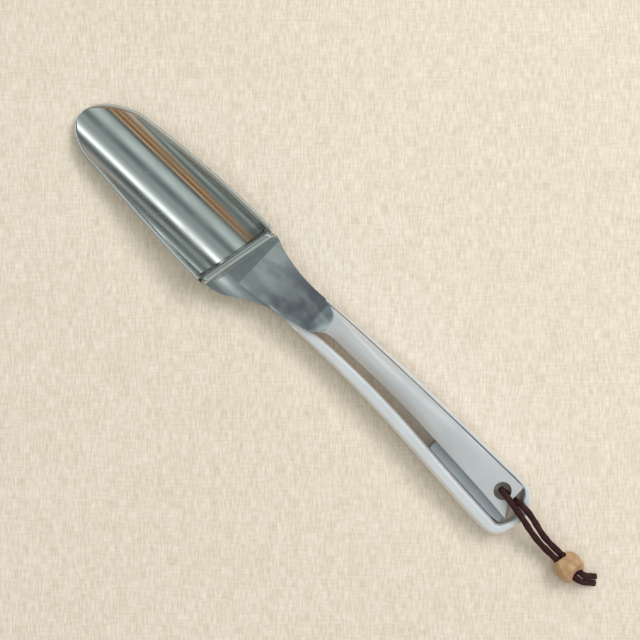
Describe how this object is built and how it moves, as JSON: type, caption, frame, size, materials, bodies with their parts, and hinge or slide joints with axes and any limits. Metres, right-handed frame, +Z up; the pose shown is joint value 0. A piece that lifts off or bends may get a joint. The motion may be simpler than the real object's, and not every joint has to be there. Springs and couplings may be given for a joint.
{
  "type": "bone folder",
  "caption": "Metal folding and scoring tool with a half-round trough blade, an open looped handle and a beaded hanging cord.",
  "frame": {"origin": "under the middle of the metal tool, on the surface that it lies on", "axes": "+X from the blade's tip to the handle's end, +Y across the tool towards the hanging hole's side, +Z up out of the open trough"},
  "size_m": [0.2043, 0.0263, 0.0109],
  "materials": {
    "polished_steel": "polished sheet with fine handling marks",
    "satin_steel": "soft satin, brighter along the edges",
    "waxed_cord": "dark maroon waxed cord with a fine twist",
    "bead_wood": "light sanded wood, whittled flats"
  },
  "bodies": {
    "tool": {"blade": "polished_steel", "blade_collar": "polished_steel", "shoulders": "polished_steel", "handle_rail": "satin_steel", "handle_strap": "satin_steel", "groove_plate": "satin_steel"},
    "lanyard": {"lanyard_cord": "waxed_cord"},
    "bead_body": {"bead": "bead_wood"}
  },
  "joints": [
    {"name": "lanyard_swing", "type": "hinge", "parent": "tool", "child": "lanyard", "pos_m": [0.0771, 0.00425, 0], "axis": [0, 0, 1], "range_deg": [-12, 12]},
    {"name": "bead_slide", "type": "slide", "parent": "lanyard", "child": "bead_body", "axis": [1, 0, 0], "range_m": [-0.004, 0]}
  ]
}
